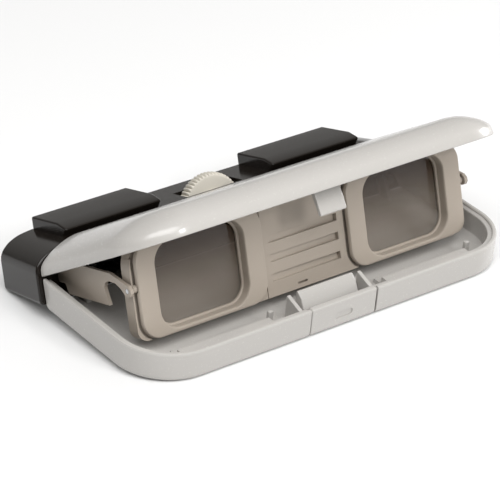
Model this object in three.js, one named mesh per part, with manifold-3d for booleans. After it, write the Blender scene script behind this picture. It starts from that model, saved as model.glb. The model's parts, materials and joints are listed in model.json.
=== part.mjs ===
// Folding opera glass: a black ocular housing with a focus wheel, and a white lid and tray
// that spring apart to stand up a panel with two large square objective lenses.
// Millimetres. Built around the fold axis: +X along the fold axis, +Y towards the oculars,
// +Z up out of the lid. The whole glass is then pitched so that it stands on the rear edge
// of its housing and the front edge of its tray, with its lowest point at Z = 0.
import * as THREE from 'three';
import { mergeVertices } from 'three/addons/utils/BufferGeometryUtils.js';
import Module from 'manifold-3d';

const wasm = await Module();
wasm.setup();

// ---------- driving dimensions ----------
const LENS_SPACING = 62; // between the two optical axes
const GAP = 0.35; // running gap between neighbouring pieces

const TRAY_OPEN = 18.8; // degrees that the tray hangs below the housing
const LID_OPEN = 17.2; // degrees that the lid stands above it
const STAND_PITCH = 14.2; // degrees that the housing leans back when the glass stands

const HOUSING_HALF = 57.6; // half width at the front
const HOUSING_TAPER = 2.0; // narrower at the back by this much on each side
const HOUSING_DEPTH = 18.8;
const HOUSING_TOP = 6.3;
const HOUSING_BOTTOM = -6.75;
const HOUSING_WALL = 1.5;

const HOOD_INNER = 17.2; // nearest edge of a hood to the middle
const HOOD_OUTER = 45.4;
const HOOD_TOP = 9.25;
const HOOD_FRONT = 7.6;
const HOOD_NOSE_Y = 3.9;
const HOOD_NOSE_Z = 8.2;

const TRAY_HALF = 56.2;
const TRAY_DEPTH = 44.0;
const TRAY_RADIUS = 14.3;
const TRAY_HEIGHT = 7.64;
const TRAY_WALL = 1.7;
const TRAY_FLOOR = 1.4;

const LID_HALF = 56.4;
const LID_DEPTH = 46.0;
const LID_RADIUS = 14.1;
const LID_TOP = 7.5;
const LID_WALL = 1.3;

const PANEL_HALF = 50.1;
const PANEL_FRONT = -28.15;
const PANEL_BACK = -24.8;
const PANEL_TOP = 11.0;
const PANEL_BOTTOM = -13.0;
const PANEL_TOP_RADIUS = 6.5; // clears the shoulders of the lid while it closes
const PANEL_LOW_RADIUS = 3.0;
const PIVOT_Y = -28.0; // axis that the panel turns on
const PIVOT_Z = 0.0;
const PIVOT_RADIUS = 0.55;
const PIVOT_BOSS = 0.95;

const BEZEL_FRONT = -29.6;
const BEZEL_HALF = 18.7;
const BEZEL_LOW = -13.4;
const BEZEL_HIGH = 11.3;
const BEZEL_RADIUS = 5.4;
const WINDOW_HALF = 12.8;
const WINDOW_LOW = -11.7;
const WINDOW_HIGH = 9.2;
const WINDOW_RADIUS = 4.9;
const LENS_FRONT = -26.3;

const WHEEL_RADIUS = 9.0;
const WHEEL_Z = 0.8;
const WHEEL_FRONT = 6.4;
const WHEEL_BACK = 10.6;
const WHEEL_TEETH = 54;
const SLOT_HALF = 8.6;
const SLOT_FRONT = 5.4;
const SLOT_BACK = 11.6;

const OCULAR_Z = 1.0;
const OCULAR_RADIUS = 5.9;

const BUTTON_HALF = 9.86;
const CATCH_HALF = 3.9;
const ARM_X = 50.5; // inner face of a side arm
const ARM_THICK = 0.9;

const radians = THREE.MathUtils.degToRad;

// ---------- solids and booleans ----------
function asSolid(geometry) {
  const bare = geometry.clone();
  bare.deleteAttribute('normal');
  bare.deleteAttribute('uv');
  const merged = mergeVertices(bare, 1e-4);
  const index = merged.index ? merged.index.array : merged.attributes.position.array.map((_, i) => i);
  return new wasm.Manifold(new wasm.Mesh({
    numProp: 3,
    vertProperties: new Float32Array(merged.attributes.position.array),
    triVerts: new Uint32Array(index),
  }));
}

function asGeometry(solid) {
  const mesh = solid.getMesh();
  const geometry = new THREE.BufferGeometry();
  geometry.setAttribute('position', new THREE.BufferAttribute(new Float32Array(mesh.vertProperties), 3));
  geometry.setIndex(new THREE.BufferAttribute(new Uint32Array(mesh.triVerts), 1));
  return geometry;
}

function join(first, ...others) {
  return asGeometry(others.reduce((sum, other) => sum.add(asSolid(other)), asSolid(first)));
}

function cut(first, ...others) {
  return asGeometry(others.reduce((rest, other) => rest.subtract(asSolid(other)), asSolid(first)));
}

function common(first, second) {
  return asGeometry(asSolid(first).intersect(asSolid(second)));
}

// ---------- basic shapes ----------
function block(x0, x1, y0, y1, z0, z1) {
  return new THREE.BoxGeometry(x1 - x0, y1 - y0, z1 - z0)
    .translate((x0 + x1) / 2, (y0 + y1) / 2, (z0 + z1) / 2);
}

function rodX(radius, x0, x1, y, z, sides = 20) {
  return new THREE.CylinderGeometry(radius, radius, x1 - x0, sides)
    .rotateZ(Math.PI / 2).translate((x0 + x1) / 2, y, z);
}

function rodY(radius, y0, y1, x, z, sides = 20) {
  return new THREE.CylinderGeometry(radius, radius, y1 - y0, sides).translate(x, (y0 + y1) / 2, z);
}

function polygon(points) {
  return new THREE.Shape(points.map(([u, v]) => new THREE.Vector2(u, v)));
}

function roundedRectangle(u0, u1, v0, v1, radius) {
  const shape = new THREE.Shape();
  shape.moveTo(u1, v0 + radius);
  shape.absarc(u1 - radius, v1 - radius, radius, 0, Math.PI / 2, false);
  shape.absarc(u0 + radius, v1 - radius, radius, Math.PI / 2, Math.PI, false);
  shape.absarc(u0 + radius, v0 + radius, radius, Math.PI, Math.PI * 1.5, false);
  shape.absarc(u1 - radius, v0 + radius, radius, Math.PI * 1.5, Math.PI * 2, false);
  return shape;
}

// A shape drawn in X and Z, extruded along Y.
function slabY(shape, y0, y1, arcSteps = 6) {
  return new THREE.ExtrudeGeometry(shape, { depth: y1 - y0, bevelEnabled: false, curveSegments: arcSteps })
    .rotateX(Math.PI / 2).translate(0, y1, 0);
}

// A shape drawn in Y and Z, extruded along X.
function slabX(shape, x0, x1, arcSteps = 6) {
  const turn = new THREE.Matrix4().set(0, 0, 1, x0, 1, 0, 0, 0, 0, 1, 0, 0, 0, 0, 0, 1);
  return new THREE.ExtrudeGeometry(shape, { depth: x1 - x0, bevelEnabled: false, curveSegments: arcSteps })
    .applyMatrix4(turn);
}

// A closed body through rings of points that all have the same count.
function loft(rings) {
  const count = rings[0].length;
  const vertices = rings.flat();
  const faces = [];
  for (let level = 0; level + 1 < rings.length; level += 1) {
    for (let i = 0; i < count; i += 1) {
      const a = level * count + i;
      const b = level * count + ((i + 1) % count);
      faces.push(a, b, b + count, a, b + count, a + count);
    }
  }
  const last = (rings.length - 1) * count;
  for (let i = 1; i + 1 < count; i += 1) {
    faces.push(0, i + 1, i);
    faces.push(last, last + i, last + i + 1);
  }
  const geometry = new THREE.BufferGeometry();
  geometry.setAttribute('position', new THREE.BufferAttribute(new Float32Array(vertices.flat()), 3));
  geometry.setIndex(faces);
  return geometry;
}

// Plan outline of the tray or the lid, seen from above, counter-clockwise.
function planRing(half, depth, radius, z, back) {
  const steps = 8;
  const ring = [[-half, back, z]];
  for (let i = 0; i <= steps; i += 1) {
    const angle = Math.PI + (Math.PI / 2) * (i / steps);
    ring.push([-half + radius + radius * Math.cos(angle), -depth + radius + radius * Math.sin(angle), z]);
  }
  for (let i = 0; i <= steps; i += 1) {
    const angle = Math.PI * 1.5 + (Math.PI / 2) * (i / steps);
    ring.push([half - radius + radius * Math.cos(angle), -depth + radius + radius * Math.sin(angle), z]);
  }
  ring.push([half, back, z]);
  return ring;
}

function mirrored(geometry) {
  const copy = geometry.clone().scale(-1, 1, 1);
  const index = Array.from(copy.index ? copy.index.array : copy.attributes.position.array.keys());
  if (!copy.index) index.length = copy.attributes.position.count;
  for (let i = 0; i < index.length; i += 3) [index[i], index[i + 1]] = [index[i + 1], index[i]];
  copy.setIndex(index);
  return copy;
}

// Everything behind the front face of the housing, in the frame of the tray or the lid.
function behindHousingFront(openAngle) {
  return block(-90, 90, -GAP, 60, -60, 60).rotateX(radians(openAngle));
}

// ---------- materials ----------
function paint(color, roughness, metalness = 0) {
  return new THREE.MeshStandardMaterial({ color, roughness, metalness });
}

const gloss = {
  black: paint(0x161415, 0.18),
  white: paint(0xdedcd8, 0.22),
  beige: paint(0xb0a9a0, 0.35),
  ivory: paint(0xcdc9be, 0.4),
  lens: paint(0x9a938c, 0.05),
  dark: paint(0x2a2727, 0.45),
  steel: paint(0xb8bcc0, 0.3, 1),
  brass: paint(0xb08d4a, 0.35, 1),
};

// ---------- groups, one for each body that moves ----------
const model = new THREE.Group();
const stand = new THREE.Group();
stand.rotation.x = -radians(STAND_PITCH);
model.add(stand);
const housing = new THREE.Group();
const tray = new THREE.Group();
tray.rotation.x = radians(TRAY_OPEN);
const lid = new THREE.Group();
lid.rotation.x = -radians(LID_OPEN);
stand.add(housing, tray, lid);

function piece(group, name, geometry, material) {
  const mesh = new THREE.Mesh(geometry, material.clone());
  mesh.name = name;
  group.add(mesh);
}

function leftAndRight(group, name, geometry, material) {
  piece(group, `${name}_right`, geometry, material);
  piece(group, `${name}_left`, mirrored(geometry), material);
}

// ---------- ocular housing ----------
// Cross-section of the housing in X and Z, counter-clockwise seen from the front.
function housingRing(half, inset, y) {
  const shoulder = [[0.0, 1.0], [0.25, 2.2], [1.1, 3.5], [3.0, 4.9], [6.0, 5.9], [9.6, 6.3]];
  const side = half - inset;
  const low = HOUSING_BOTTOM + inset;
  const right = [[side - 1.3, low], [side - 0.35, low + 0.4], [side, low + 1.3]];
  for (const [step, z] of shoulder) right.push([side - step, z - inset]);
  const left = right.map(([x, z]) => [-x, z]).reverse();
  return [...right, ...left].map(([x, z]) => [x, y, z]);
}

function housingBody(inset, y0, y1) {
  const halfAt = (y) => HOUSING_HALF - HOUSING_TAPER * (y / HOUSING_DEPTH);
  // The ring runs clockwise seen along +Y, so the loft goes from the back to the front.
  return loft([housingRing(halfAt(y1), inset, y1), housingRing(halfAt(y0), inset, y0)]);
}

function hood() {
  const section = polygon([
    [HOUSING_DEPTH, HOUSING_TOP - 1], [HOUSING_DEPTH, HOOD_TOP], [HOOD_FRONT, HOOD_TOP],
    [HOOD_NOSE_Y, HOOD_NOSE_Z], [HOOD_NOSE_Y + 0.5, HOOD_NOSE_Z - 0.7], [6.0, HOUSING_TOP - 1],
  ].reverse());
  return slabX(section, HOOD_INNER, HOOD_OUTER);
}

function hoodCavity(grow = 0) {
  const side = 1.4 - grow;
  return block(HOOD_INNER + side, HOOD_OUTER - side, HOOD_FRONT - 0.2 - grow, 30, 2, HOOD_TOP - 1.2 + grow);
}

function lightPort() {
  const x = LENS_SPACING / 2;
  return slabY(roundedRectangle(x - 10.5, x + 10.5, -4.4, 3.8, 1.8), -1, 3, 3);
}

// Room in the front wall for the hinge ears and the spring, and a taller slot that guides the side arm.
function earNotch() {
  const slot = block(ARM_X - 0.35, ARM_X + ARM_THICK + 0.35, -1, 3.0, -5.15, 3.6);
  return join(block(CHEEK[1], ARM_X, -1, 3.0, -2.6, 2.6), slot);
}

function screwPost(x, z) {
  return join(rodY(1.5, 9, 16.6, x, z, 12), block(x - 1.0, x + 1.0, 9, 16.6, HOUSING_BOTTOM + 1, z));
}

// The cheek that each hinge pin is pressed into.
function hingeCheek() {
  return join(rodX(EAR_RADIUS, ...CHEEK, 0, 0, 16), block(...CHEEK, 0, 3.0, -EAR_RADIUS, EAR_RADIUS));
}

const SCREW_PLACES = [[13.5, -3.4], [48.6, -3.4]];

function housingShell() {
  let shell = join(housingBody(0, 0, HOUSING_DEPTH), hood(), mirrored(hood()));
  shell = cut(shell, housingBody(HOUSING_WALL, HOUSING_WALL, 30), hoodCavity(), mirrored(hoodCavity()));
  shell = cut(shell, block(-SLOT_HALF, SLOT_HALF, SLOT_FRONT, SLOT_BACK, 3, 20));
  shell = cut(shell, block(-7, 7, SLOT_FRONT, SLOT_BACK, -20, -4));
  for (const feature of [lightPort(), earNotch()]) shell = cut(shell, feature, mirrored(feature));
  for (const [x, z] of SCREW_PLACES) {
    const post = cut(screwPost(x, z), rodY(0.6, 9.6, 20, x, z, 10));
    shell = join(shell, post, mirrored(post));
  }
  shell = join(shell, hingeCheek(), mirrored(hingeCheek()));
  const pinHole = rodX(PIN_RADIUS + 0.03, CHEEK[0] - 0.3, CHEEK[1] + 1, 0, 0, 16);
  shell = cut(shell, pinHole, mirrored(pinHole));
  // Boss in the middle of the front wall for the front bearing of the focus screw.
  return join(shell, cut(rodY(3.2, 1.0, 4.6, 0, WHEEL_Z, 20), rodY(2.4, 2.4, 9, 0, WHEEL_Z, 20)));
}

const COVER_FRONT = HOUSING_DEPTH - 1.9;
const COVER_BACK = HOUSING_DEPTH - 0.3;

function rearCover() {
  let cover = join(
    housingBody(HOUSING_WALL + 0.3, COVER_FRONT, COVER_BACK),
    common(hoodCavity(-0.3), block(0, 60, COVER_FRONT, COVER_BACK, 2, 12)),
    common(mirrored(hoodCavity(-0.3)), block(-60, 0, COVER_FRONT, COVER_BACK, 2, 12)),
  );
  for (const side of [-1, 1]) {
    cover = cut(cover, rodY(4.7, 0, 30, side * LENS_SPACING / 2, OCULAR_Z, 28));
    for (const [x, z] of SCREW_PLACES) {
      cover = cut(cover, rodY(0.9, 0, 30, side * x, z, 10));
      cover = cut(cover, rodY(1.7, COVER_BACK - 0.7, 30, side * x, z, 14));
    }
  }
  return cover;
}

function coverScrews() {
  const screws = [];
  for (const side of [-1, 1]) {
    for (const [x, z] of SCREW_PLACES) {
      const head = cut(
        rodY(1.4, COVER_BACK - 0.6, COVER_BACK - 0.05, side * x, z, 14),
        block(side * x - 1.1, side * x + 1.1, COVER_BACK - 0.3, 30, z - 0.2, z + 0.2),
        block(side * x - 0.2, side * x + 0.2, COVER_BACK - 0.3, 30, z - 1.1, z + 1.1),
      );
      screws.push(join(head, rodY(0.45, 10, COVER_BACK - 0.5, side * x, z, 8)));
    }
  }
  return screws;
}

// ---------- focus ----------
function focusWheel() {
  const rim = new THREE.Shape();
  for (let i = 0; i < WHEEL_TEETH; i += 1) {
    const angle = (2 * Math.PI * i) / WHEEL_TEETH;
    const step = Math.PI / WHEEL_TEETH;
    const root = WHEEL_RADIUS - 0.45;
    if (i === 0) rim.moveTo(WHEEL_RADIUS, 0);
    else rim.lineTo(WHEEL_RADIUS * Math.cos(angle), WHEEL_RADIUS * Math.sin(angle));
    rim.lineTo(root * Math.cos(angle + step), root * Math.sin(angle + step));
  }
  const wheel = slabY(rim, WHEEL_FRONT, WHEEL_BACK).translate(0, 0, WHEEL_Z);
  const recess = cut(
    rodY(WHEEL_RADIUS - 1.8, WHEEL_BACK - 1.4, WHEEL_BACK + 1, 0, WHEEL_Z, 28),
    rodY(2.6, 0, 20, 0, WHEEL_Z, 20),
  );
  return cut(wheel, recess, rodY(1.5 + 0.3, 0, 20, 0, WHEEL_Z, 16));
}

// A screw with square-edged rings standing for its thread.
function focusScrew() {
  let screw = join(rodY(1.5, 2.8, 11.4, 0, WHEEL_Z, 16), rodY(1.1, 11.0, 16.2, 0, WHEEL_Z, 16));
  for (let turn = 0; turn < 5; turn += 1) {
    const y = 11.9 + turn * 0.9;
    screw = join(screw, rodY(1.35, y, y + 0.4, 0, WHEEL_Z, 16));
  }
  return screw;
}

function screwBearing() {
  return cut(rodY(2.1, 2.7, 5.2, 0, WHEEL_Z, 20), rodY(1.56, 0, 9, 0, WHEEL_Z, 16));
}

const CARRIAGE_FRONT = 12.2;
const CARRIAGE_BACK = 13.8;
const GUIDE_X = 17.8;
const GUIDE_Z = -3.2;

function ocularCarriage() {
  let bar = block(-38, 38, CARRIAGE_FRONT, CARRIAGE_BACK, -4.7, 4.3);
  bar = cut(bar, rodY(3.1, 0, 30, 0, WHEEL_Z, 20));
  for (const side of [-1, 1]) {
    bar = cut(
      join(bar, rodY(6.4, CARRIAGE_FRONT, CARRIAGE_BACK, side * LENS_SPACING / 2, OCULAR_Z - 0.1, 28)),
      rodY(OCULAR_RADIUS + 0.02, 0, 30, side * LENS_SPACING / 2, OCULAR_Z, 28),
      rodY(0.86, 0, 30, side * GUIDE_X, GUIDE_Z, 12),
      rodY(2.2, 0, 30, side * SCREW_PLACES[0][0], SCREW_PLACES[0][1], 12),
    );
  }
  return common(bar, block(-60, 60, 0, 30, -5.0, 7.6));
}

function driveNut() {
  return cut(rodY(2.8, CARRIAGE_FRONT, CARRIAGE_BACK, 0, WHEEL_Z, 20), rodY(1.65, 0, 30, 0, WHEEL_Z, 16));
}

function ocularTube() {
  const x = LENS_SPACING / 2;
  return cut(
    rodY(OCULAR_RADIUS - 0.3, 9.6, 14.8, x, OCULAR_Z, 28),
    rodY(4.4, 0, 30, x, OCULAR_Z, 28),
    rodY(4.95, 11.2, 30, x, OCULAR_Z, 28),
  );
}

// A lens that is hollow on both sides, turned about Y.
function ocularLens() {
  const profile = [[0, 12.6], [2.4, 12.4], [4.6, 11.5], [4.6, 14.4], [2.4, 13.5], [0, 13.3]];
  const points = profile.map(([radius, y]) => new THREE.Vector2(radius, y));
  return new THREE.LatheGeometry(points, 28).translate(LENS_SPACING / 2, 0, OCULAR_Z);
}

// ---------- fold hinges ----------
const CHEEK = [41.9, 43.4];
const TRAY_EAR = [46.3, 47.5];
const LID_EAR = [47.9, 49.1];
const PIN_RADIUS = 0.95;
const EAR_RADIUS = 1.9;

function hingePin() {
  return join(
    rodX(PIN_RADIUS, CHEEK[0], 49.6, 0, 0, 16),
    rodX(1.4, 49.5, 50.0, 0, 0, 16),
  );
}

// A torsion spring on the inner end of the pin, with both legs short and forward.
function foldSpring() {
  const path = new THREE.Curve();
  const turns = 3;
  const wire = 0.32;
  const radius = PIN_RADIUS + 0.3 + wire;
  path.getPoint = (t) => new THREE.Vector3(
    CHEEK[1] + 0.45 + 2.0 * t,
    radius * Math.cos(2 * Math.PI * turns * t),
    radius * Math.sin(2 * Math.PI * turns * t),
  );
  const section = new THREE.Shape();
  section.absarc(0, 0, wire, 0, Math.PI * 2, false);
  return new THREE.ExtrudeGeometry(section, { steps: turns * 12, curveSegments: 2, extrudePath: path });
}

// ---------- arms that carry the lens panel ----------
function sideArm() {
  const shape = polygon([
    [6.6, -2.4], [6.6, 1.8], [6.0, 2.4], [-2.0, 2.4], [-3.0, 3.3], [-21.5, 3.3], [-26.5, 1.8],
    [-28.6, 1.3], [-29.4, 0.5], [-29.5, -0.4], [-29.0, -1.2], [-28.0, -1.5], [-27.0, -1.2],
    [-25.6, 0.2], [-23.6, 1.2], [-20.8, 1.3], [-19.3, 0.6], [-18.7, -0.6],
    [-19.9, -4.8], [-3.2, -4.8], [-2.2, -2.4],
  ].reverse());
  const pivotHole = rodX(PIVOT_RADIUS + 0.1, 50, 56, PIVOT_Y, PIVOT_Z, 16);
  return cut(slabX(shape, ARM_X, ARM_X + ARM_THICK), pivotHole);
}

function panelPivot() {
  return rodX(PIVOT_RADIUS, PANEL_HALF - 2.2, ARM_X + ARM_THICK, PIVOT_Y, PIVOT_Z, 16);
}

// ---------- tray ----------
const trayInsideHalf = TRAY_HALF - TRAY_WALL;
const trayInsideDepth = TRAY_DEPTH - TRAY_WALL;
const trayFloorZ = -TRAY_HEIGHT + TRAY_FLOOR;

function trayShell() {
  const outer = loft([
    planRing(TRAY_HALF - 0.9, TRAY_DEPTH - 0.9, TRAY_RADIUS - 0.9, -TRAY_HEIGHT, 8),
    planRing(TRAY_HALF, TRAY_DEPTH, TRAY_RADIUS, -TRAY_HEIGHT + 0.9, 8),
    planRing(TRAY_HALF, TRAY_DEPTH, TRAY_RADIUS, -0.5, 8),
    planRing(TRAY_HALF - 0.5, TRAY_DEPTH - 0.5, TRAY_RADIUS - 0.5, -0.15, 8),
  ]);
  const inner = loft([
    planRing(trayInsideHalf - 0.6, trayInsideDepth - 0.6, TRAY_RADIUS - TRAY_WALL - 0.6, trayFloorZ, 20),
    planRing(trayInsideHalf, trayInsideDepth, TRAY_RADIUS - TRAY_WALL, trayFloorZ + 0.6, 20),
    planRing(trayInsideHalf, trayInsideDepth, TRAY_RADIUS - TRAY_WALL, 5, 20),
  ]);
  // The stepped ledge in front of the lens bezels, and two upright posts.
  const ledge = join(
    block(17.4, 44.0, -42.6, -34.4, trayFloorZ - 0.5, -5.1),
    block(17.4, 44.0, -42.6, -37.0, trayFloorZ - 0.5, -3.3),
  );
  const posts = [-16.4, 45.4].map((x) => block(x - 0.7, x + 0.7, -36.9, -35.8, trayFloorZ - 0.5, -2.2));
  // The hole in the front wall for the button, and the ramp and ribs behind it.
  const buttonHole = block(-BUTTON_HALF - GAP, BUTTON_HALF + GAP, -60, -41.0, -9, 5);
  const ramp = slabX(polygon([
    [-39.2, trayFloorZ - 0.5], [-35.7, trayFloorZ - 0.5], [-35.7, 0.3], [-36.3, 0.5], [-37.9, -1.0],
    [-39.2, -3.4],
  ]), -8.4, 8.4);
  const rib = slabX(polygon([
    [-42.6, trayFloorZ - 0.5], [-35.8, trayFloorZ - 0.5], [-35.8, 0.0], [-42.6, -2.4],
  ]), BUTTON_HALF + GAP, BUTTON_HALF + GAP + 1.1);
  const web = slabX(polygon([
    [-7, trayFloorZ - 0.5], [3, trayFloorZ - 0.5], [1.2, -1.4], [-1.7, 0.8],
  ]), ...TRAY_EAR);
  const ear = rodX(EAR_RADIUS, ...TRAY_EAR, 0, 0, 16);
  let shell = cut(outer, inner);
  shell = cut(join(shell, ledge, mirrored(ledge), ...posts, rib, mirrored(rib)), buttonHole);
  shell = join(shell, ramp, web, mirrored(web));
  shell = cut(shell, behindHousingFront(-TRAY_OPEN));
  shell = join(shell, ear, mirrored(ear));
  return cut(shell, rodX(PIN_RADIUS + 0.06, -60, 60, 0, 0, 16));
}

// The button closes the hole in the front wall and turns on a pin along its lower edge.
const BUTTON_PIN_Y = -42.6;
const BUTTON_PIN_Z = -6.3;

function pushButton() {
  const face = slabX(polygon([
    [-TRAY_DEPTH, -0.5], [-TRAY_DEPTH + 0.4, -0.15], [-42.3, -0.15], [-42.3, -5.2], [-41.4, -5.7],
    [-41.4, -TRAY_HEIGHT + 0.4], [-41.8, -TRAY_HEIGHT], [-TRAY_DEPTH + 0.9, -TRAY_HEIGHT],
    [-TRAY_DEPTH, -TRAY_HEIGHT + 0.9],
  ]), -BUTTON_HALF, BUTTON_HALF);
  const mark = slabY(roundedRectangle(-2.6, 2.6, -5.0, -3.2, 0.85), -60, -TRAY_DEPTH + 0.25, 5);
  return cut(face, mark, rodX(0.56, -20, 20, BUTTON_PIN_Y, BUTTON_PIN_Z, 12));
}

function buttonPin() {
  return rodX(0.5, -BUTTON_HALF, BUTTON_HALF, BUTTON_PIN_Y, BUTTON_PIN_Z, 12);
}

// A leaf spring that stands on the tray floor behind the button.
function buttonSpring() {
  const leaf = slabX(polygon([
    [-39.6, -5.5], [-39.6, -5.2], [-40.3, -5.0], [-41.4, -2.6], [-41.5, -1.9], [-41.7, -2.0],
    [-41.6, -2.9], [-40.5, -5.3],
  ].reverse()), 5.0, 8.0);
  return join(leaf, block(5.0, 8.0, -40.2, -39.6, -5.9, -5.2));
}

// ---------- lid ----------
const LID_LEVELS = [[0.15, 0.35, 0.35], [0.5, 0, 0], [2.1, 0.1, 0], [3.4, 1.0, 0.5], [4.8, 2.9, 1.7],
  [6.0, 5.4, 3.4], [7.0, 8.2, 5.6], [LID_TOP, 11.0, 8.2]];

function lidLoft(inset, levels) {
  return loft(levels.map(([z, sideways, forward]) => planRing(
    LID_HALF - inset - sideways,
    LID_DEPTH - inset - forward,
    Math.max(LID_RADIUS - inset - 0.5 * (sideways + forward), 5),
    z,
    20,
  )));
}

function lidShell() {
  const innerLevels = LID_LEVELS.map(([z, sideways, forward]) => [z - LID_WALL, sideways, forward]);
  innerLevels[0] = [-5, 0.1, 0];
  innerLevels[1] = [-2, 0, 0];
  innerLevels[2] = [LID_LEVELS[2][0] - LID_WALL, 0.1, 0];
  const web = slabX(polygon([[1.2, 1.4], [3, 5.2], [-7, 5.2], [-1.7, -0.8]]), ...LID_EAR);
  const ear = rodX(EAR_RADIUS, ...LID_EAR, 0, 0, 16);
  let shell = cut(lidLoft(0, LID_LEVELS), lidLoft(LID_WALL, innerLevels));
  shell = cut(join(shell, web, mirrored(web)), behindHousingFront(LID_OPEN));
  shell = join(shell, ear, mirrored(ear));
  return cut(shell, rodX(PIN_RADIUS + 0.06, -60, 60, 0, 0, 16));
}

// The catch hangs from the lid and drops between the button and the ramp.
function lidCatch() {
  return slabX(polygon([
    [-41.3, 4.4], [-41.5, -5.2], [-41.1, -5.6], [-40.4, -5.3], [-40.0, 1.0], [-37.4, 3.4], [-37.4, 4.4],
  ]), -CATCH_HALF, CATCH_HALF);
}

// ---------- objective panel ----------
const windowOutline = (side, grow) => roundedRectangle(
  side * LENS_SPACING / 2 - WINDOW_HALF - grow,
  side * LENS_SPACING / 2 + WINDOW_HALF + grow,
  WINDOW_LOW - grow,
  WINDOW_HIGH + grow,
  WINDOW_RADIUS + grow,
);
const GROOVES = [[0.2, 2.1], [-4.5, -2.6], [-9.3, -7.4]];
const GROOVE_HALF = 10.4;
const GROOVE_SHALLOW = 0.4;
const GROOVE_DEEP = 1.2;
const SEAM_X = -12.4;

// A groove that deepens from its left end to a sharp step at its right end.
function groove(low, high) {
  const wedge = new THREE.Shape();
  wedge.moveTo(-GROOVE_HALF, PANEL_FRONT - 1);
  wedge.lineTo(GROOVE_HALF, PANEL_FRONT - 1);
  wedge.lineTo(GROOVE_HALF, PANEL_FRONT + GROOVE_DEEP);
  wedge.lineTo(-GROOVE_HALF, PANEL_FRONT + GROOVE_SHALLOW);
  return new THREE.ExtrudeGeometry(wedge, { depth: high - low, bevelEnabled: false }).translate(0, 0, low);
}

function objectivePanel() {
  const lowCorners = roundedRectangle(-PANEL_HALF, PANEL_HALF, PANEL_BOTTOM, 40, PANEL_LOW_RADIUS);
  const topCorners = roundedRectangle(-PANEL_HALF, PANEL_HALF, -40, PANEL_TOP, PANEL_TOP_RADIUS);
  let panel = common(
    slabY(lowCorners, PANEL_FRONT, PANEL_BACK),
    slabY(topCorners, PANEL_FRONT, PANEL_BACK),
  );
  const boss = rodX(PIVOT_BOSS, PANEL_HALF - 2.5, PANEL_HALF, PIVOT_Y, PIVOT_Z, 16);
  panel = join(panel, boss, mirrored(boss));
  for (const side of [-1, 1]) panel = cut(panel, slabY(windowOutline(side, 1.25), -40, 0));
  for (const [low, high] of GROOVES) panel = cut(panel, groove(low, high));
  panel = cut(panel, block(SEAM_X - 0.12, SEAM_X + 0.12, PANEL_FRONT - 1, PANEL_FRONT + 0.35, -14, 12));
  panel = cut(panel, block(-3.2, -0.2, PANEL_FRONT - 1, PANEL_FRONT + 1.0, -12.0, -11.4));
  const pivotHole = rodX(PIVOT_RADIUS + 0.03, PANEL_HALF - 2.3, 60, PIVOT_Y, PIVOT_Z, 16);
  return cut(panel, pivotHole, mirrored(pivotHole));
}

function lensBezel() {
  const x = LENS_SPACING / 2;
  const face = slabY(
    roundedRectangle(x - BEZEL_HALF, x + BEZEL_HALF, BEZEL_LOW, BEZEL_HIGH, BEZEL_RADIUS),
    BEZEL_FRONT,
    PANEL_FRONT - 0.3,
  );
  const sleeve = slabY(windowOutline(1, 0.9), PANEL_FRONT - 0.6, LENS_FRONT - 0.3);
  return cut(
    join(face, sleeve),
    slabY(windowOutline(1, 0), -40, LENS_FRONT - 0.9),
    slabY(windowOutline(1, -0.5), -40, 0),
    rodX(PIVOT_BOSS + 0.3, PANEL_HALF - 2.8, PANEL_HALF, PIVOT_Y, PIVOT_Z, 16),
  );
}

function objectiveLens() {
  return slabY(windowOutline(1, 0.9), LENS_FRONT, PANEL_BACK - 0.2);
}

// ---------- assembly ----------
const panelCarrier = new THREE.Group();
stand.add(panelCarrier);

piece(housing, 'housing_shell', housingShell(), gloss.black);
piece(housing, 'rear_cover', rearCover(), gloss.black);
piece(housing, 'screw_bearing', screwBearing(), gloss.brass);
leftAndRight(housing, 'hinge_pin', hingePin(), gloss.steel);
leftAndRight(housing, 'fold_spring', foldSpring(), gloss.steel);
leftAndRight(housing, 'guide_rod', rodY(0.8, 1.8, 16.6, GUIDE_X, GUIDE_Z, 12), gloss.steel);
coverScrews().forEach((screw, i) => piece(housing, `cover_screw_${i + 1}`, screw, gloss.steel));

piece(housing, 'focus_wheel', focusWheel(), gloss.ivory);
piece(housing, 'focus_screw', focusScrew(), gloss.steel);
piece(housing, 'ocular_carriage', ocularCarriage(), gloss.dark);
piece(housing, 'drive_nut', driveNut(), gloss.brass);
leftAndRight(housing, 'ocular_tube', ocularTube(), gloss.dark);
leftAndRight(housing, 'ocular_lens', ocularLens(), gloss.lens);

leftAndRight(panelCarrier, 'side_arm', sideArm(), gloss.beige);
leftAndRight(panelCarrier, 'panel_pivot', panelPivot(), gloss.steel);
piece(panelCarrier, 'objective_panel', objectivePanel(), gloss.beige);
leftAndRight(panelCarrier, 'lens_bezel', lensBezel(), gloss.beige);
leftAndRight(panelCarrier, 'objective_lens', objectiveLens(), gloss.lens);

piece(tray, 'tray_shell', trayShell(), gloss.white);
piece(tray, 'push_button', pushButton(), gloss.white);
piece(tray, 'button_pin', buttonPin(), gloss.steel);
piece(tray, 'button_spring', buttonSpring(), gloss.steel);

piece(lid, 'lid_shell', lidShell(), gloss.white);
piece(lid, 'lid_catch', lidCatch(), gloss.white);

// Centre the standing glass over the origin, with its lowest point at Z = 0.
model.updateMatrixWorld(true);
const extent = new THREE.Box3().setFromObject(model, true);
stand.position.set(0, -(extent.min.y + extent.max.y) / 2, -extent.min.z);

export default model;
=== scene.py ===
"""Looks of the folding opera glass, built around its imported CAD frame."""

import json
import math

import bmesh
import bpy
from mathutils import Matrix, Vector


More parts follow.
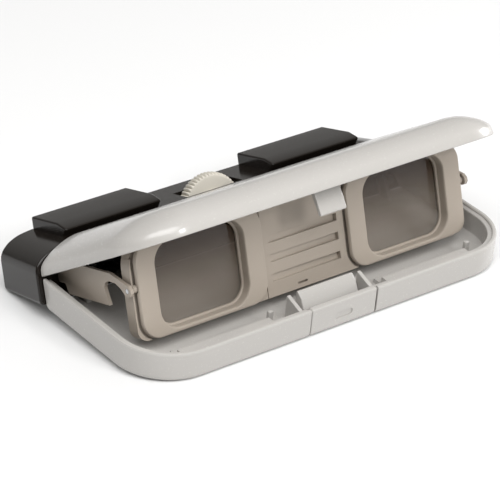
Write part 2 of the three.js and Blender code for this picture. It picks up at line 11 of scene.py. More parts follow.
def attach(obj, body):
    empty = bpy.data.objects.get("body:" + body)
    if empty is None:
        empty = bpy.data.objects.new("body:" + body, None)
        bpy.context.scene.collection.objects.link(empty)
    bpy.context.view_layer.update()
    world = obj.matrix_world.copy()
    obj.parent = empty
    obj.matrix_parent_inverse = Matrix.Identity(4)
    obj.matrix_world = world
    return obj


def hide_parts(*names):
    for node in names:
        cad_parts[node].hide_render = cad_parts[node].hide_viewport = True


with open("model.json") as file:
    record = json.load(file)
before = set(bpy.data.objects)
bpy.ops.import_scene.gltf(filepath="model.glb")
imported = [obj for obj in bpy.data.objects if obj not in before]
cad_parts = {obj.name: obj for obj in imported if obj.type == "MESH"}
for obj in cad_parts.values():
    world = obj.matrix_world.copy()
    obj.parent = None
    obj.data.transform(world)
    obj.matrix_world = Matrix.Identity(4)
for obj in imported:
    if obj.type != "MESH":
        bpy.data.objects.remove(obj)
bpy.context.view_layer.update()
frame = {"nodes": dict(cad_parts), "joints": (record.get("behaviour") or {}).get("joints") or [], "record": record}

# ---------- frames: millimetres in the housing, tray and lid, turned into metres of the row ----------
joints = {joint["name"]: joint for joint in frame["joints"]}
fold_axis = Vector(joints["lid_fold"]["pos_m"])
pitch = math.asin(joints["focus_slide"]["axis"][2])
TRAY_OPEN = math.radians(18.8)
LID_OPEN = math.radians(17.2)
BODY = Matrix.Translation(fold_axis) @ Matrix.Rotation(pitch, 4, "X") @ Matrix.Scale(0.001, 4)
TRAY = BODY @ Matrix.Rotation(TRAY_OPEN, 4, "X")
LID = BODY @ Matrix.Rotation(-LID_OPEN, 4, "X")

# ---------- dimensions in millimetres, close to those of the CAD ----------
GAP = 0.35
LENS_X = 31.0
HOUSING_HALF, HOUSING_TAPER, HOUSING_DEPTH = 57.6, 2.0, 18.8
HOUSING_TOP, HOUSING_BOTTOM, HOUSING_WALL = 6.3, -6.75, 1.5
HOOD_INNER, HOOD_OUTER, HOOD_TOP, HOOD_FRONT = 17.2, 45.4, 9.25, 7.6
HOOD_NOSE_Y, HOOD_NOSE_Z, HOOD_WALL, HOOD_ROOF = 3.9, 8.2, 1.4, 1.2
PORT_HALF, PORT_LOW, PORT_HIGH, PORT_RADIUS = 10.5, -4.4, 3.8, 1.8
HINGE_NOTCH_HALF, ARM_SLOT_LOW, ARM_SLOT_HIGH, FRONT_DEPTH = 2.6, -5.15, 3.6, 3.0
TRAY_HALF, TRAY_DEPTH, TRAY_RADIUS, TRAY_HEIGHT = 56.2, 44.0, 14.3, 7.64
TRAY_FLOOR = -TRAY_HEIGHT + 1.4
LEDGE_INNER, LEDGE_OUTER, LEDGE_BACK, LEDGE_STEP, LEDGE_FRONT = 17.4, 44.0, -34.4, -37.0, -42.9
LEDGE_LOW, LEDGE_HIGH = -5.1, -3.3
POST_PLACES, POST_HALF, POST_FRONT, POST_BACK, POST_TOP = (-16.4, 45.4), 0.7, -36.9, -35.8, -2.2
RAMP_HALF, RIB_THICK = 8.4, 1.1
LID_HALF, LID_DEPTH, LID_RADIUS, LID_TOP, LID_WALL = 56.4, 46.0, 14.1, 7.5, 1.3
PANEL_HALF, PANEL_FRONT, PANEL_BACK, PANEL_TOP, PANEL_BOTTOM = 50.1, -28.15, -24.8, 11.0, -13.0
PANEL_TOP_RADIUS, PANEL_LOW_RADIUS = 6.5, 3.0
GROOVES = ((0.2, 2.1), (-4.5, -2.6), (-9.3, -7.4))
GROOVE_HALF, GROOVE_SHALLOW, GROOVE_DEEP, SEAM_X = 10.4, 0.4, 1.2, -12.4
PIVOT_Y, PIVOT_Z, PIVOT_RADIUS, PIVOT_BOSS = -28.0, 0.0, 0.55, 0.95
BEZEL_FRONT, BEZEL_HALF, BEZEL_LOW, BEZEL_HIGH, BEZEL_RADIUS = -29.6, 18.7, -13.4, 11.3, 5.4
WINDOW_HALF, WINDOW_LOW, WINDOW_HIGH, WINDOW_RADIUS = 12.8, -11.7, 9.2, 4.9
LENS_FRONT = -26.3
WHEEL_RADIUS, WHEEL_Z, WHEEL_FRONT, WHEEL_BACK, WHEEL_TEETH = 9.0, 0.8, 6.4, 10.6, 54
SLOT_HALF, LOW_SLOT_HALF, SLOT_FRONT, SLOT_BACK = 8.6, 7.0, 5.4, 11.6
BUTTON_HALF, BUTTON_PIN_Y, BUTTON_PIN_Z = 9.86, -42.6, -6.3
CATCH_HALF = 3.9
PIN_RADIUS, EAR_RADIUS = 0.95, 1.9
CHEEK, TRAY_EAR, LID_EAR = (41.9, 43.4), (46.3, 47.5), (47.9, 49.1)
ARM_X, ARM_THICK = 50.5, 0.9
SCREW_PLACES = ((13.5, -3.4), (48.6, -3.4))
SCREW_POST_RADIUS, SCREW_POST_FRONT, SCREW_POST_BACK, SCREW_HOLE_RADIUS = 1.5, 9.0, 16.6, 0.6
FAR = 60.0  # a cut that runs right through the part ends here


# ---------- mesh tools ----------
def make(vertices, faces):
    mesh = bpy.data.meshes.new("shape")
    mesh.from_pydata([tuple(v) for v in vertices], [], faces)
    bm = bmesh.new()
    bm.from_mesh(mesh)
    bmesh.ops.recalc_face_normals(bm, faces=bm.faces)
    bm.to_mesh(mesh)
    bm.free()
    shape = bpy.data.objects.new("shape", mesh)
    bpy.context.scene.collection.objects.link(shape)
    return shape


def settle(shape):
    """Applies the shape's modifiers."""
    graph = bpy.context.evaluated_depsgraph_get()
    mesh = bpy.data.meshes.new_from_object(shape.evaluated_get(graph))
    shape.modifiers.clear()
    shape.data = mesh
    return shape


def combine(operation, shape, others):
    for other in others:
        boolean = shape.modifiers.new("boolean", "BOOLEAN")
        boolean.operation = operation
        boolean.solver = "EXACT"
        boolean.object = other
    settle(shape)
    for other in others:
        bpy.data.objects.remove(other)
    return shape


def join(shape, *others):
    return combine("UNION", shape, others)


def cut(shape, *others):
    return combine("DIFFERENCE", shape, others)


def rounded(shape, width, segments=3, angle=35):
    bevel = shape.modifiers.new("bevel", "BEVEL")
    bevel.width = width
    bevel.segments = segments
    bevel.limit_method = "ANGLE"
    bevel.angle_limit = math.radians(angle)
    return settle(shape)


def moved(shape, place):
    shape.data.transform(place)
    return shape


def mirror_copy(shape):
    copy = shape.copy()
    copy.data = shape.data.copy()
    bpy.context.scene.collection.objects.link(copy)
    copy.data.transform(Matrix.Scale(-1, 4, (1, 0, 0)))
    copy.data.flip_normals()
    return copy


def both(shape):
    return [shape, mirror_copy(shape)]


def loft(rings, around=False):
    """A closed body through rings with the same count. With around, the last ring joins the first."""
    count = len(rings[0])
    faces = []
    levels = len(rings) if around else len(rings) - 1
    for level in range(levels):
        low, high = level * count, ((level + 1) % len(rings)) * count
        for i in range(count):
            j = (i + 1) % count
            faces.append((low + i, low + j, high + j, high + i))
    if not around:
        faces.append(tuple(range(count)))
        faces.append(tuple(range((len(rings) - 1) * count, len(rings) * count)))
    return make([p for ring in rings for p in ring], faces)


def prism(axis, points, low, high):
    """A polygon extruded along X (points in Y, Z), Y (in X, Z) or Z (in X, Y)."""
    orders = {"X": lambda u, v, w: (w, u, v), "Y": lambda u, v, w: (u, w, v), "Z": lambda u, v, w: (u, v, w)}
    return loft([[orders[axis](u, v, w) for u, v in points] for w in (low, high)])


def box(x0, x1, y0, y1, z0, z1):
    return prism("Z", [(x0, y0), (x1, y0), (x1, y1), (x0, y1)], z0, z1)


def circle(radius, u, v, sides):
    turn = 2 * math.pi / sides
    return [(u + radius * math.cos(turn * i), v + radius * math.sin(turn * i)) for i in range(sides)]


def rod(axis, radius, low, high, u, v, sides=40):
    return prism(axis, circle(radius, u, v, sides), low, high)


def rounded_rectangle(u0, u1, v0, v1, radius, steps=12):
    points = []
    corners = ((u1, v1, 0), (u0, v1, 90), (u0, v0, 180), (u1, v0, 270))
    for cu, cv, start in corners:
        u = cu - math.copysign(radius, cu - (u0 + u1) / 2)
        v = cv - math.copysign(radius, cv - (v0 + v1) / 2)
        for i in range(steps + 1):
            angle = math.radians(start + 90 * i / steps)
            points.append((u + radius * math.cos(angle), v + radius * math.sin(angle)))
    return points


def smooth_curve(points, between=4):
    """A Catmull-Rom curve through the points."""
    padded = [points[0], *points, points[-1]]
    curve = []
    for i in range(1, len(padded) - 2):
        p0, p1, p2, p3 = (Vector(p) for p in padded[i - 1:i + 3])
        for step in range(between):
            t = step / between
            curve.append(0.5 * (2 * p1 + (p2 - p0) * t + (2 * p0 - 5 * p1 + 4 * p2 - p3) * t * t
                                + (3 * p1 - p0 - 3 * p2 + p3) * t ** 3))
    return [tuple(p) for p in curve] + [tuple(points[-1])]


def plan(half, depth, radius, z, back, steps=18):
    """U-shaped outline of the tray or the lid at height z, from its left rear end to its right rear end."""
    outline = [(-half, back, z)]
    for start, side in ((math.pi, -1), (1.5 * math.pi, 1)):
        for i in range(steps + 1):
            angle = start + 0.5 * math.pi * i / steps
            outline.append((side * (half - radius) + radius * math.cos(angle),
                            radius - depth + radius * math.sin(angle), z))
    return [*outline, (half, back, z)]


def basin(outer, inner):
    """A shell open at its rim and rear, from matching U outlines that run from rim to closed side."""
    count, levels = len(outer[0]), len(outer)
    vertices = [p for ring in outer + inner for p in ring]
    faces = []
    for skin in (0, levels):
        for level in range(levels - 1):
            low = (skin + level) * count
            faces += [(low + i, low + i + 1, low + count + i + 1, low + count + i) for i in range(count - 1)]
        faces.append(tuple(range((skin + levels - 1) * count, (skin + levels) * count)))
    inside = levels * count
    faces += [(i, i + 1, inside + i + 1, inside + i) for i in range(count - 1)]
    for level in range(levels - 1):
        for end in (0, count - 1):
            a = level * count + end
            faces.append((a, a + count, inside + a + count, inside + a))
    a, b = (levels - 1) * count, levels * count - 1
    faces.append((a, b, inside + b, inside + a))
    return make(vertices, faces)


# ---------- materials ----------
def moulded(name, colour, roughness, specular=0.5, coat=0.0, mottle=0.04, grain=2600.0, relief=0.000004,
            metallic=0.0):
    """Moulded plastic, metal or lens: faint mottling in colour, grain in roughness and a fine relief."""
    material = bpy.data.materials.new(name)
    material.use_nodes = True
    nodes, links = material.node_tree.nodes, material.node_tree.links
    shader = nodes["Principled BSDF"]
    place = nodes.new("ShaderNodeTexCoord")

    def noise(scale, detail):
        node = nodes.new("ShaderNodeTexNoise")
        node.inputs["Scale"].default_value = scale
        node.inputs["Detail"].default_value = detail
        links.new(place.outputs["Object"], node.inputs["Vector"])
        return node

    broad, fine = noise(45.0, 3.0), noise(grain, 2.0)
    tint = nodes.new("ShaderNodeMix")
    tint.data_type = "RGBA"
    tint.inputs["A"].default_value = (*[c * (1 - mottle) for c in colour], 1)
    tint.inputs["B"].default_value = (*[min(1, c * (1 + mottle)) for c in colour], 1)
    links.new(broad.outputs["Fac"], tint.inputs["Factor"])
    links.new(tint.outputs["Result"], shader.inputs["Base Color"])
    spread = nodes.new("ShaderNodeMapRange")
    spread.inputs["To Min"].default_value = roughness * 0.85
    spread.inputs["To Max"].default_value = min(1, roughness * 1.15)
    links.new(fine.outputs["Fac"], spread.inputs["Value"])
    links.new(spread.outputs["Result"], shader.inputs["Roughness"])
    bump = nodes.new("ShaderNodeBump")
    bump.inputs["Distance"].default_value = relief
    links.new(fine.outputs["Fac"], bump.inputs["Height"])
    links.new(bump.outputs["Normal"], shader.inputs["Normal"])
    values = {"Metallic": metallic, "Specular IOR Level": specular,
              "Coat Weight": coat, "Coat Roughness": 0.05}
    for key, value in values.items():
        shader.inputs[key].default_value = value
    return material


def paint_lens_light_and_shade(material, axis, low, high, painted_light_low, painted_shade_high):
    """Paints light and shade into the lens along an axis, both as RGBA (colour and alpha). At its lower edge it is
    a lighter brown painted light, where the lit tray floor lies behind it. At its upper edge it is a dark painted
    shade, where the housing front lies in shadow.
    """
    nodes, links = material.node_tree.nodes, material.node_tree.links
    shader = nodes["Principled BSDF"]
    place = nodes.new("ShaderNodeTexCoord")
    along = nodes.new("ShaderNodeVectorMath")
    along.operation = "DOT_PRODUCT"
    along.inputs[1].default_value = axis
    links.new(place.outputs["Object"], along.inputs[0])
    grade = nodes.new("ShaderNodeMapRange")
    grade.interpolation_type = "SMOOTHSTEP"
    grade.inputs["From Min"].default_value = low
    grade.inputs["From Max"].default_value = high
    links.new(along.outputs["Value"], grade.inputs["Value"])
    for kind, target, ends in (("RGBA", "Base Color", ((*painted_light_low[:3], 1), (*painted_shade_high[:3], 1))),
                               ("FLOAT", "Alpha", (painted_light_low[3], painted_shade_high[3]))):
        mix = nodes.new("ShaderNodeMix")
        mix.data_type = kind
        sockets = [socket for socket in mix.inputs if socket.enabled and socket.name in "AB"]
        for socket, value in zip(sockets, ends):
            socket.default_value = value
        links.new(grade.outputs["Result"], mix.inputs["Factor"])
        links.new(next(output for output in mix.outputs if output.enabled), shader.inputs[target])


LOOKS = {
    "white_plastic": moulded("white_gloss", (0.40, 0.385, 0.365), 0.26, coat=0.3, mottle=0.015),
    "beige_plastic": moulded("beige_satin", (0.335, 0.29, 0.243), 0.42, mottle=0.02),
    "black_plastic": moulded("black_gloss", (0.0085, 0.0065, 0.005), 0.16, specular=0.32, mottle=0.1,
                             relief=0.000002),
    "ivory_plastic": moulded("ivory_satin", (0.50, 0.47, 0.41), 0.45),
    "dark_plastic": moulded("dark_matt", (0.022, 0.020, 0.019), 0.55, mottle=0.15),
    "lens": moulded("lens_clear", (0.045, 0.024, 0.011), 0.03, grain=70.0, relief=0.000001),
    "steel": moulded("steel_pin", (0.55, 0.56, 0.58), 0.3, metallic=1.0),
    "brass": moulded("brass_turned", (0.62, 0.46, 0.20), 0.35, metallic=1.0),
}
upright = (BODY.to_3x3() @ Vector((0, 0, 1))).normalized()
window_low, window_high = (upright.dot(BODY @ Vector((0, LENS_FRONT, z))) for z in (WINDOW_LOW, WINDOW_HIGH))
# painted shade towards the top of the lens and painted light towards its bottom, in colour and in alpha
paint_lens_light_and_shade(LOOKS["lens"], upright, window_low, window_high,
       painted_light_low=(0.32, 0.27, 0.22, 0.25), painted_shade_high=(0.030, 0.014, 0.006, 0.72))
slot_of = {part["node"]: part["material_slot"] for part in frame["record"]["subparts"]}
for node, shape in frame["nodes"].items():
    shape.data.materials.clear()
    shape.data.materials.append(LOOKS[slot_of[node]])


def shade(shape, angle=32):
    """Smooth shading that breaks at edges sharper than the angle."""
    mesh = shape.data
    bm = bmesh.new()
    bm.from_mesh(mesh)
    limit = math.radians(angle)
    for face in bm.faces:
        face.smooth = True
    for edge in bm.edges:
        edge.smooth = len(edge.link_faces) == 2 and edge.calc_face_angle(0) < limit
    bm.to_mesh(mesh)
    bm.free()
    weighted = shape.modifiers.new("weighted", "WEIGHTED_NORMAL")
    weighted.keep_sharp = True


def piece(name, shape, place, body, *nodes):
    """The shape, in millimetres of its place, becomes a piece that stands for those CAD nodes."""
    shape.data.transform(place)
    shape.name = shape.data.name = name
    shade(shape)
    slot = slot_of[nodes[0]]
    shape.data.materials.clear()
    shape.data.materials.append(LOOKS[slot])
    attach(shape, body)
    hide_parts(*nodes)
    return shape


# ---------- housing ----------
SHOULDER = smooth_curve([(0.0, 1.0), (0.25, 2.2), (1.1, 3.5), (3.0, 4.9), (6.0, 5.9), (9.6, 6.3)], 3)


def housing_ring(half, inset, y):
    side, low = half - inset, HOUSING_BOTTOM + inset
    right = [(side - 1.3, low), (side - 0.75, low + 0.12), (side - 0.35, low + 0.4), (side - 0.1, low + 0.8),
             (side, low + 1.3)]
    right += [(side - step, z - inset) for step, z in SHOULDER]
    left = [(-x, z) for x, z in reversed(right)]
    return [(x, y, z) for x, z in right + left]


def housing_half(y):
    return HOUSING_HALF - HOUSING_TAPER * y / HOUSING_DEPTH


def housing_body(inset, y0, y1, edge=0.0):
    steps = [(0.0, 1.0), (0.1, 0.55), (0.3, 0.22), (0.6, 0.05), (1.0, 0.0)] if edge else [(0.0, 0.0)]
    rings = [(y0 + edge * along, inset + edge * in_by) for along, in_by in steps]
    rings += [(y1 - edge * along, inset + edge * in_by) for along, in_by in reversed(steps)]
    return loft([housing_ring(housing_half(y), step, y) for y, step in rings])


def hood():
    section = [(HOUSING_DEPTH, HOUSING_TOP - 1), (HOUSING_DEPTH, HOOD_TOP), (HOOD_FRONT, HOOD_TOP),
               (HOOD_NOSE_Y, HOOD_NOSE_Z), (HOOD_NOSE_Y + 0.5, HOOD_NOSE_Z - 0.7), (6.0, HOUSING_TOP - 1)]
    return rounded(prism("X", section, HOOD_INNER, HOOD_OUTER), 0.5, 4, 20)


def hood_cavity():
    return box(HOOD_INNER + HOOD_WALL, HOOD_OUTER - HOOD_WALL, HOOD_FRONT - 0.2, 30, 2, HOOD_TOP - HOOD_ROOF)


def housing_moulding():
    shell = join(housing_body(0, 0, HOUSING_DEPTH, 0.5), *both(hood()))
    port_outline = rounded_rectangle(LENS_X - PORT_HALF, LENS_X + PORT_HALF, PORT_LOW, PORT_HIGH, PORT_RADIUS)
    port = prism("Y", port_outline, -1, FRONT_DEPTH)
    notch = box(CHEEK[1], ARM_X, -1, FRONT_DEPTH, -HINGE_NOTCH_HALF, HINGE_NOTCH_HALF)
    arm_slot = box(ARM_X - GAP, ARM_X + ARM_THICK + GAP, -1, FRONT_DEPTH, ARM_SLOT_LOW, ARM_SLOT_HIGH)
    cut(shell, housing_body(HOUSING_WALL, HOUSING_WALL, 30), *both(hood_cavity()))
    cut(shell, box(-SLOT_HALF, SLOT_HALF, SLOT_FRONT, SLOT_BACK, 3, 20),
        box(-LOW_SLOT_HALF, LOW_SLOT_HALF, SLOT_FRONT, SLOT_BACK, -20, -4))
    cut(shell, *both(port), *both(notch), *both(arm_slot))
    cheek = join(rod("X", EAR_RADIUS, *CHEEK, 0, 0), box(*CHEEK, 0, FRONT_DEPTH, -EAR_RADIUS, EAR_RADIUS))
    boss = cut(rod("Y", 3.2, 1.0, 4.6, 0, WHEEL_Z), rod("Y", 2.4, 2.4, 9, 0, WHEEL_Z))
    posts = []
    for x, z in SCREW_PLACES:
        post = join(rod("Y", SCREW_POST_RADIUS, SCREW_POST_FRONT, SCREW_POST_BACK, x, z, 24),
                    box(x - 1.0, x + 1.0, SCREW_POST_FRONT, SCREW_POST_BACK, HOUSING_BOTTOM + 1, z))
        posts += both(cut(post, rod("Y", SCREW_HOLE_RADIUS, SCREW_POST_FRONT + 0.6, 20, x, z, 16)))
    join(shell, *both(cheek), boss, *posts)
    return cut(shell, *both(rod("X", PIN_RADIUS + 0.03, CHEEK[0] - 0.3, CHEEK[1] + 1, 0, 0)))


piece("housing_moulding", housing_moulding(), BODY, "housing", "housing_shell")


def wheel_moulding():
    """Serrated rim with softly rounded ridges and a dished rear face."""
    steps_per_tooth = 6

    def ring(radius, y, depth):
        points = []
        for i in range(WHEEL_TEETH * steps_per_tooth):
            turn = 2 * math.pi * i / (WHEEL_TEETH * steps_per_tooth)
            ridge = abs(math.cos(WHEEL_TEETH * turn / 2)) ** 0.8
            r = radius - depth * (1 - ridge)
            points.append((r * math.cos(turn), y, WHEEL_Z + r * math.sin(turn)))
        return points

    front, back, r = WHEEL_FRONT + 0.9, WHEEL_BACK, WHEEL_RADIUS
    rings = [ring(r - 1.0, front, 0.0), ring(r - 0.45, front + 0.15, 0.25), ring(r - 0.1, front + 0.5, 0.7),
             ring(r, front + 0.9, 0.8), ring(r, back - 0.8, 0.8), ring(r - 0.2, back - 0.4, 0.6),
             ring(r - 0.75, back, 0.0)]
    wheel = join(loft(rings), rod("Y", r - 4.0, WHEEL_FRONT, front + 1, 0, WHEEL_Z, 60))
    recess = cut(rod("Y", r - 1.8, back - 1.4, back + 1, 0, WHEEL_Z, 60),
                 rod("Y", 2.6, 0, 20, 0, WHEEL_Z, 40))
    return cut(wheel, recess, rod("Y", 1.8, 0, 20, 0, WHEEL_Z, 32))


piece("wheel_moulding", wheel_moulding(), BODY, "focus", "focus_wheel")


# ---------- hinge of tray and lid ----------
def behind_housing_front(opening):
    """Everything behind the housing front, for a part that is turned open by that angle."""
    return moved(box(-90, 90, -GAP, FAR, -FAR, FAR), Matrix.Rotation(opening, 4, "X"))


def ears(web_outline, span, opening):
    """Ears with a web and a pin hole, right and left."""
    ear = cut(prism("X", web_outline, *span), behind_housing_front(opening))
    join(ear, rod("X", EAR_RADIUS, *span, 0, 0))
    return both(cut(ear, rod("X", PIN_RADIUS + 0.06, span[0] - 1, span[1] + 1, 0, 0)))


# ---------- tray ----------
def tray_back(z):
    return (z * math.sin(TRAY_OPEN) - GAP) / math.cos(TRAY_OPEN)


def tray_moulding():
    # (inset, z) from the rim to the floor, outside and inside: the rim has a lower lip along its inner side
    outside = [(0.6, -0.16), (0.35, -0.18), (0.15, -0.27), (0.03, -0.5), (0.0, -0.8),
               (0.0, -TRAY_HEIGHT + 1.3), (0.35, -TRAY_HEIGHT + 0.4), (1.3, -TRAY_HEIGHT)]
    inside = [(0.9, -0.2), (1.1, -0.4), (1.15, -0.8), (2.15, -0.85), (2.3, -1.05), (2.3, TRAY_FLOOR + 1.0),
              (2.45, TRAY_FLOOR + 0.3), (3.0, TRAY_FLOOR)]
    root = TRAY_FLOOR - 0.5  # what stands on the floor starts inside it
    rounding = [(0.0, -0.25), (-0.07, -0.07), (-0.25, 0.0)]

    def rings(profile):
        return [plan(TRAY_HALF - inset, TRAY_DEPTH - inset, TRAY_RADIUS - inset, z, tray_back(z))
                for inset, z in profile]

    shell = basin(rings(outside), rings(inside))
    low_edge = [(LEDGE_BACK + y, LEDGE_LOW + z) for y, z in rounding]
    high_edge = [(LEDGE_STEP + y, LEDGE_HIGH + z) for y, z in rounding]
    steps = [(LEDGE_FRONT, root), (LEDGE_BACK, root), *low_edge, (LEDGE_STEP, LEDGE_LOW), *high_edge,
             (LEDGE_FRONT, LEDGE_HIGH)]
    ledge = prism("X", steps, LEDGE_INNER, LEDGE_OUTER)
    posts = [rounded(box(x - POST_HALF, x + POST_HALF, POST_FRONT, POST_BACK, root, POST_TOP), 0.25)
             for x in POST_PLACES]
    rib = rounded(prism("X", [(LEDGE_FRONT, root), (POST_BACK, root), (POST_BACK, 0.0), (LEDGE_FRONT, -2.4)],
                        BUTTON_HALF + GAP, BUTTON_HALF + GAP + RIB_THICK), 0.2)
    slope = [(-39.2, root), (-35.7, root), (-35.7, 0.3), (-36.3, 0.5), (-37.9, -1.0), (-39.2, -3.4)]
    ramp = rounded(prism("X", slope, -RAMP_HALF, RAMP_HALF), 0.25, 3, 25)
    join(shell, *both(ledge), *posts, *both(rib))
    cut(shell, box(-BUTTON_HALF - GAP, BUTTON_HALF + GAP, -FAR, -41.0, -9, 5))
    join(shell, ramp)
    cut(shell, behind_housing_front(-TRAY_OPEN))
    web = [(-7, root), (3, root), (1.2, -1.4), (-1.7, 0.8)]
    return join(shell, *ears(web, TRAY_EAR, -TRAY_OPEN))


piece("tray_moulding", tray_moulding(), TRAY, "tray", "tray_shell")


def button_moulding():
    front, low, behind = -TRAY_DEPTH, -TRAY_HEIGHT, -41.4
    section = [(front, -0.7), (front + 0.07, -0.38), (front + 0.25, -0.2), (front + 0.55, -0.15),
               (-42.3, -0.15), (-42.3, -5.2), (behind, -5.7), (behind, low + 0.4), (behind - 0.4, low),
               (front + 1.3, low), (front + 0.45, low + 0.3), (front + 0.12, low + 0.75), (front, low + 1.3)]
    face = rounded(prism("X", section, -BUTTON_HALF, BUTTON_HALF), 0.4, 4, 50)
    recess = prism("Y", rounded_rectangle(-2.6, 2.6, -5.0, -3.2, 0.85), -FAR, front + 0.25)
    return cut(face, recess, rod("X", 0.56, -20, 20, BUTTON_PIN_Y, BUTTON_PIN_Z, 20))


piece("button_moulding", button_moulding(), TRAY, "button", "push_button")


# ---------- lid ----------
def lid_back(z):
    return (-z * math.sin(LID_OPEN) - GAP) / math.cos(LID_OPEN)


def lid_moulding():
    # (z, inset at the sides, inset at the front)
    rim = [(0.15, 0.4, 0.4), (0.2, 0.15, 0.15), (0.33, 0.04, 0.04)]
    dome = smooth_curve([(0.5, 0, 0), (2.1, 0.1, 0), (3.4, 1.0, 0.5), (4.8, 2.9, 1.7), (6.0, 5.4, 3.4),
                         (7.0, 8.2, 5.6), (LID_TOP, 11.0, 8.2)], 3)

    def outline(z, sideways, forward, wall):
        radius = max(LID_RADIUS - wall - 0.5 * (sideways + forward), 5)
        return plan(LID_HALF - wall - sideways, LID_DEPTH - wall - forward, radius, z, lid_back(z))

    outer, inner = [], []
    for i, (z, sideways, forward) in enumerate(rim + dome):
        roof = LID_WALL * min(1, max(0, i - len(rim) + 1) / 4)  # grows from nothing at the rim
        outer.append(outline(z, sideways, forward, 0.0))
        inner.append(outline(max(z - roof, 0.15 + 0.02 * i), sideways, forward, LID_WALL))
    shell = basin(outer, inner)
    cut(shell, behind_housing_front(LID_OPEN))
    web = [(1.2, 1.4), (3, 5.2), (-7, 5.2), (-1.7, -0.8)]
    return join(shell, *ears(web, LID_EAR, LID_OPEN))


piece("lid_moulding", lid_moulding(), LID, "lid", "lid_shell")


def catch_moulding():
    section = [(-41.3, 4.4), (-41.5, -5.2), (-41.1, -5.6), (-40.4, -5.3), (-40.0, 1.0), (-37.4, 3.4),
               (-37.4, 4.4)]
    return rounded(prism("X", section, -CATCH_HALF, CATCH_HALF), 0.2, 3, 25)


piece("catch_moulding", catch_moulding(), LID, "lid", "lid_catch")


# ---------- objective panel ----------
def window(side, grow):
    return rounded_rectangle(side * LENS_X - WINDOW_HALF - grow, side * LENS_X + WINDOW_HALF + grow,
                             WINDOW_LOW - grow, WINDOW_HIGH + grow, WINDOW_RADIUS + grow)


def bezel_outline(inset):
    """Outline of a bezel round its own middle."""
    return rounded_rectangle(-BEZEL_HALF + inset, BEZEL_HALF - inset, BEZEL_LOW + inset, BEZEL_HIGH - inset,
                             BEZEL_RADIUS - inset)


def panel_moulding():
    lower = rounded_rectangle(-PANEL_HALF, PANEL_HALF, PANEL_BOTTOM, 40, PANEL_LOW_RADIUS)
    upper = rounded_rectangle(-PANEL_HALF, PANEL_HALF, -40, PANEL_TOP, PANEL_TOP_RADIUS)
    panel, high = (prism("Y", outline, PANEL_FRONT, PANEL_BACK) for outline in (lower, upper))
    combine("INTERSECT", panel, [high])
    for side in (-1, 1):
        seat = [(side * LENS_X + x, z) for x, z in bezel_outline(0.0)]
        cut(panel, prism("Y", window(side, 1.25), -40, 0), prism("Y", seat, -40, PANEL_FRONT + 0.8))
    wedge = [(-GROOVE_HALF, PANEL_FRONT - 1), (GROOVE_HALF, PANEL_FRONT - 1),
             (GROOVE_HALF, PANEL_FRONT + GROOVE_DEEP), (-GROOVE_HALF, PANEL_FRONT + GROOVE_SHALLOW)]
    cut(panel, *[prism("Z", wedge, bottom, top) for bottom, top in GROOVES])
    cut(panel, box(-3.2, -0.2, PANEL_FRONT - 1, PANEL_FRONT + 1.0, -12.0, -11.4))
    cut(panel, box(SEAM_X - 0.12, SEAM_X + 0.12, PANEL_FRONT - 1, PANEL_FRONT + 0.35, -14, 12))
    rounded(panel, 0.18, 2, 40)
    join(panel, *both(rod("X", PIVOT_BOSS, PANEL_HALF - 2.5, PANEL_HALF, PIVOT_Y, PIVOT_Z)))
    return cut(panel, *both(rod("X", PIVOT_RADIUS + 0.03, PANEL_HALF - 2.3, FAR, PIVOT_Y, PIVOT_Z)))


piece("panel_moulding", panel_moulding(), BODY, "panel", "objective_panel")


def bezel_moulding():
    """A ring of sections: rounded outer edge, flat face, funnel to the lens, and the sleeve behind."""
    def outline(inset, y):
        return [(LENS_X + x, y, z) for x, z in bezel_outline(inset)]

    def opening(grow, y):
        return [(x, y, z) for x, z in window(1, grow)]

    back = PANEL_FRONT - 0.3
    front, seat = BEZEL_FRONT, LENS_FRONT - 0.3
    rings = [outline(0.6, back), outline(0.5, back - 0.1), outline(0.5, front + 0.65),
             outline(0.56, front + 0.35), outline(0.72, front + 0.1), outline(1.05, front),
             opening(0.45, front), opening(0.2, front + 0.08), opening(0.05, front + 0.3),
             opening(0.0, front + 0.6), opening(0.0, seat - 0.6), opening(-0.5, seat - 0.5),
             opening(-0.5, seat), opening(0.9, seat), opening(0.9, back)]
    relief = rod("X", PIVOT_BOSS + 0.3, PANEL_HALF - 2.8, PANEL_HALF, PIVOT_Y, PIVOT_Z)
    return cut(loft(rings, around=True), relief)


bezel = bezel_moulding()
piece("bezel_moulding_left", mirror_copy(bezel), BODY, "panel", "lens_bezel_left")
piece("bezel_moulding_right", bezel, BODY, "panel", "lens_bezel_right")


def lens_moulding():
    """Flat plate with a bevelled front edge."""
    profile = ((0.9, PANEL_BACK - 0.2), (0.9, LENS_FRONT + 0.15), (0.75, LENS_FRONT), (-1.5, LENS_FRONT))
    return loft([[(x, y, z) for x, z in window(1, grow)] for grow, y in profile])


lens = lens_moulding()
piece("lens_plate_left", mirror_copy(lens), BODY, "panel", "objective_lens_left")
piece("lens_plate_right", lens, BODY, "panel", "objective_lens_right")

# ---------- CAD pieces that keep their shape ----------
for node, shape in frame["nodes"].items():
    if shape.hide_render:
        continue
    for face in shape.data.polygons:
        face.use_smooth = True
    bevel = shape.modifiers.new("edges", "BEVEL")
    bevel.width = 0.00008
    bevel.segments = 2
    bevel.limit_method = "ANGLE"
    bevel.angle_limit = math.radians(40)
    bevel.harden_normals = True

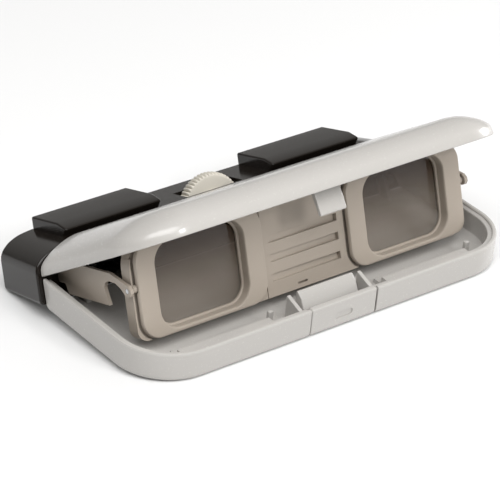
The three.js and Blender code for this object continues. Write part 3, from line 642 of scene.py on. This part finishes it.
# ---------- floor, light and camera ----------
floor_mesh = bpy.data.meshes.new("floor")
floor_corners = [(-3, -3, 0), (3, -3, 0), (3, 3, 0), (-3, 3, 0)]
floor_mesh.from_pydata(floor_corners, [], [(0, 1, 2, 3)])
floor = bpy.data.objects.new("floor", floor_mesh)
bpy.context.scene.collection.objects.link(floor)
floor_look = bpy.data.materials.new("floor_paper")
floor_look.use_nodes = True
paper = floor_look.node_tree.nodes["Principled BSDF"]
paper.inputs["Base Color"].default_value = (0.66, 0.66, 0.66, 1)
paper.inputs["Roughness"].default_value = 0.9
paper.inputs["Specular IOR Level"].default_value = 0.1
paper.inputs["Emission Color"].default_value = (1, 0.99, 0.98, 1)
paper.inputs["Emission Strength"].default_value = 0.05
floor.data.materials.append(floor_look)

world = bpy.data.worlds.new("studio")
world.use_nodes = True
sky = world.node_tree
direction = sky.nodes.new("ShaderNodeTexCoord")
height = sky.nodes.new("ShaderNodeSeparateXYZ")
ramp = sky.nodes.new("ShaderNodeValToRGB")
sky.links.new(direction.outputs["Generated"], height.inputs["Vector"])
sky.links.new(height.outputs["Z"], ramp.inputs["Fac"])
sky.links.new(ramp.outputs["Color"], sky.nodes["Background"].inputs["Color"])
for stop, level in ((0.0, 0.34), (0.35, 0.50), (0.8, 0.42)):
    mark = ramp.color_ramp.elements[0] if stop == 0 else ramp.color_ramp.elements.new(stop)
    mark.color = (level, level * 0.985, level * 0.96, 1)
darker_left = sky.nodes.new("ShaderNodeMapRange")
for key, value in (("From Min", -1.0), ("From Max", -0.1), ("To Min", 0.12), ("To Max", 1.0)):
    darker_left.inputs[key].default_value = value
sky.links.new(height.outputs["X"], darker_left.inputs["Value"])
sky.links.new(darker_left.outputs["Result"], sky.nodes["Background"].inputs["Strength"])
bpy.context.scene.world = world


def soft_light(name, place, aim, size, power):
    data = bpy.data.lights.new(name, "AREA")
    data.shape = "RECTANGLE"
    data.size, data.size_y = size
    data.energy = power
    light = bpy.data.objects.new(name, data)
    light.location = place
    light.rotation_mode = "QUATERNION"
    light.rotation_quaternion = (Vector(aim) - Vector(place)).to_track_quat("-Z", "Y")
    bpy.context.scene.collection.objects.link(light)


soft_light("overhead", (-0.35, -0.42, 0.85), (0, 0, 0), (1.1, 0.7), 12.5)
soft_light("front_right", (0.2, -0.82, 0.56), (0, 0, 0.01), (0.2, 0.2), 2.6)
soft_light("side_right", (0.9, -0.12, 0.2), (0, 0, 0.01), (0.3, 0.3), 6.0)

CAMERA_AZIMUTH, CAMERA_ELEVATION, CAMERA_ROLL = -39.070, 27.488, 1.934
CAMERA_PLACE = (-0.376643, -0.459857, 0.315875)
camera_data = bpy.data.cameras.new("camera")
camera_data.lens = 198.53
camera_data.sensor_width = 36.0
camera_data.clip_end = 20.0
camera = bpy.data.objects.new("camera", camera_data)
camera.matrix_world = (Matrix.Translation(CAMERA_PLACE)
                       @ Matrix.Rotation(math.radians(CAMERA_AZIMUTH), 4, "Z")
                       @ Matrix.Rotation(math.radians(90 - CAMERA_ELEVATION), 4, "X")
                       @ Matrix.Rotation(math.radians(CAMERA_ROLL), 4, "Z"))
bpy.context.scene.collection.objects.link(camera)
bpy.context.scene.camera = camera
bpy.context.scene.view_settings.view_transform = "Standard"
